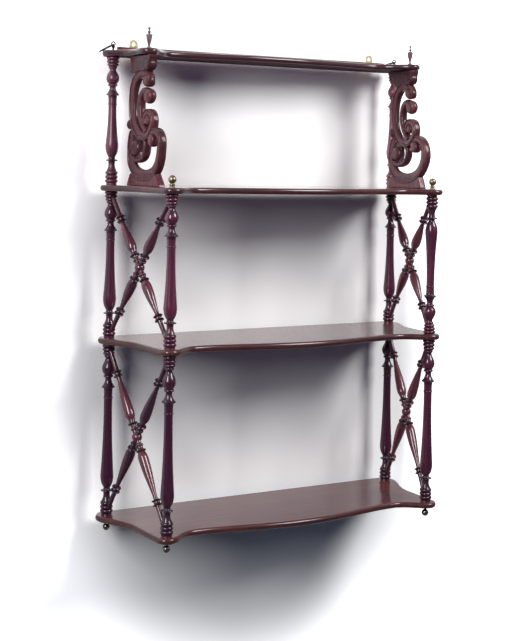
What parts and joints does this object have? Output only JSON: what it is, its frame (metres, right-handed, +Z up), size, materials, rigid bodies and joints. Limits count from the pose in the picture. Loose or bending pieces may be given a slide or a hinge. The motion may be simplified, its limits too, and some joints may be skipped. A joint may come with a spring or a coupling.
{
  "type": "hanging wall shelf",
  "caption": "Tiered wooden wall shelf with serpentine shelves on turned posts, crossed side spindles, pierced scroll brackets, brass ball finials and wire hanging loops",
  "frame": {"origin": "middle of the top shelf's back edge, on the wall", "axes": "+X to the viewer's right, +Y into the wall, +Z up"},
  "size_m": [0.6702, 0.2186, 0.9084],
  "materials": {
    "mahogany_board": "polished, aged",
    "mahogany_turning": "polished, aged",
    "mahogany_carving": "polished, dark in the hollows",
    "aged_brass": "aged",
    "dark_iron": "dark, dull"
  },
  "bodies": {
    "shelf_unit": {"top_shelf": "mahogany_board", "second_shelf": "mahogany_board", "third_shelf": "mahogany_board", "bottom_shelf": "mahogany_board", "back_rail": "mahogany_board", "upper_rear_post_left": "mahogany_turning", "middle_rear_post_left": "mahogany_turning", "middle_front_post_left": "mahogany_turning", "middle_left_inner_spindle": "mahogany_turning", "middle_left_outer_spindle": "mahogany_turning", "lower_rear_post_left": "mahogany_turning", "lower_front_post_left": "mahogany_turning", "lower_left_inner_spindle": "mahogany_turning", "lower_left_outer_spindle": "mahogany_turning", "urn_finial_left": "mahogany_turning", "bracket_dowel_rear_left": "mahogany_turning", "bracket_dowel_front_left": "mahogany_turning", "upper_rear_post_right": "mahogany_turning", "middle_rear_post_right": "mahogany_turning", "middle_front_post_right": "mahogany_turning", "middle_right_inner_spindle": "mahogany_turning", "middle_right_outer_spindle": "mahogany_turning", "lower_rear_post_right": "mahogany_turning", "lower_front_post_right": "mahogany_turning", "lower_right_inner_spindle": "mahogany_turning", "lower_right_outer_spindle": "mahogany_turning", "urn_finial_right": "mahogany_turning", "bracket_dowel_rear_right": "mahogany_turning", "bracket_dowel_front_right": "mahogany_turning", "rail_dowel_left": "mahogany_turning", "rail_dowel_middle": "mahogany_turning", "rail_dowel_right": "mahogany_turning", "scroll_bracket_left": "mahogany_carving", "scroll_bracket_right": "mahogany_carving", "ball_finial_left": "aged_brass", "ball_foot_front_left": "aged_brass", "ball_foot_rear_left": "aged_brass", "hanging_plate_left": "aged_brass", "plate_screw_shelf_left": "aged_brass", "plate_screw_rail_left": "aged_brass", "ball_finial_right": "aged_brass", "ball_foot_front_right": "aged_brass", "ball_foot_rear_right": "aged_brass", "hanging_plate_right": "aged_brass", "plate_screw_shelf_right": "aged_brass", "plate_screw_rail_right": "aged_brass", "screw_eye_left": "dark_iron", "screw_eye_right": "dark_iron"},
    "left_loop": {"hanging_loop_left": "dark_iron"},
    "right_loop": {"hanging_loop_right": "dark_iron"}
  },
  "joints": [
    {"name": "left_loop_swing", "type": "hinge", "parent": "shelf_unit", "child": "left_loop", "pos_m": [-0.311, -0.02, 0.0164], "axis": [0, 1, 0], "range_deg": [0, 226]},
    {"name": "right_loop_swing", "type": "hinge", "parent": "shelf_unit", "child": "right_loop", "pos_m": [0.311, -0.02, 0.0164], "axis": [0, 1, 0], "range_deg": [0, 226]}
  ]
}
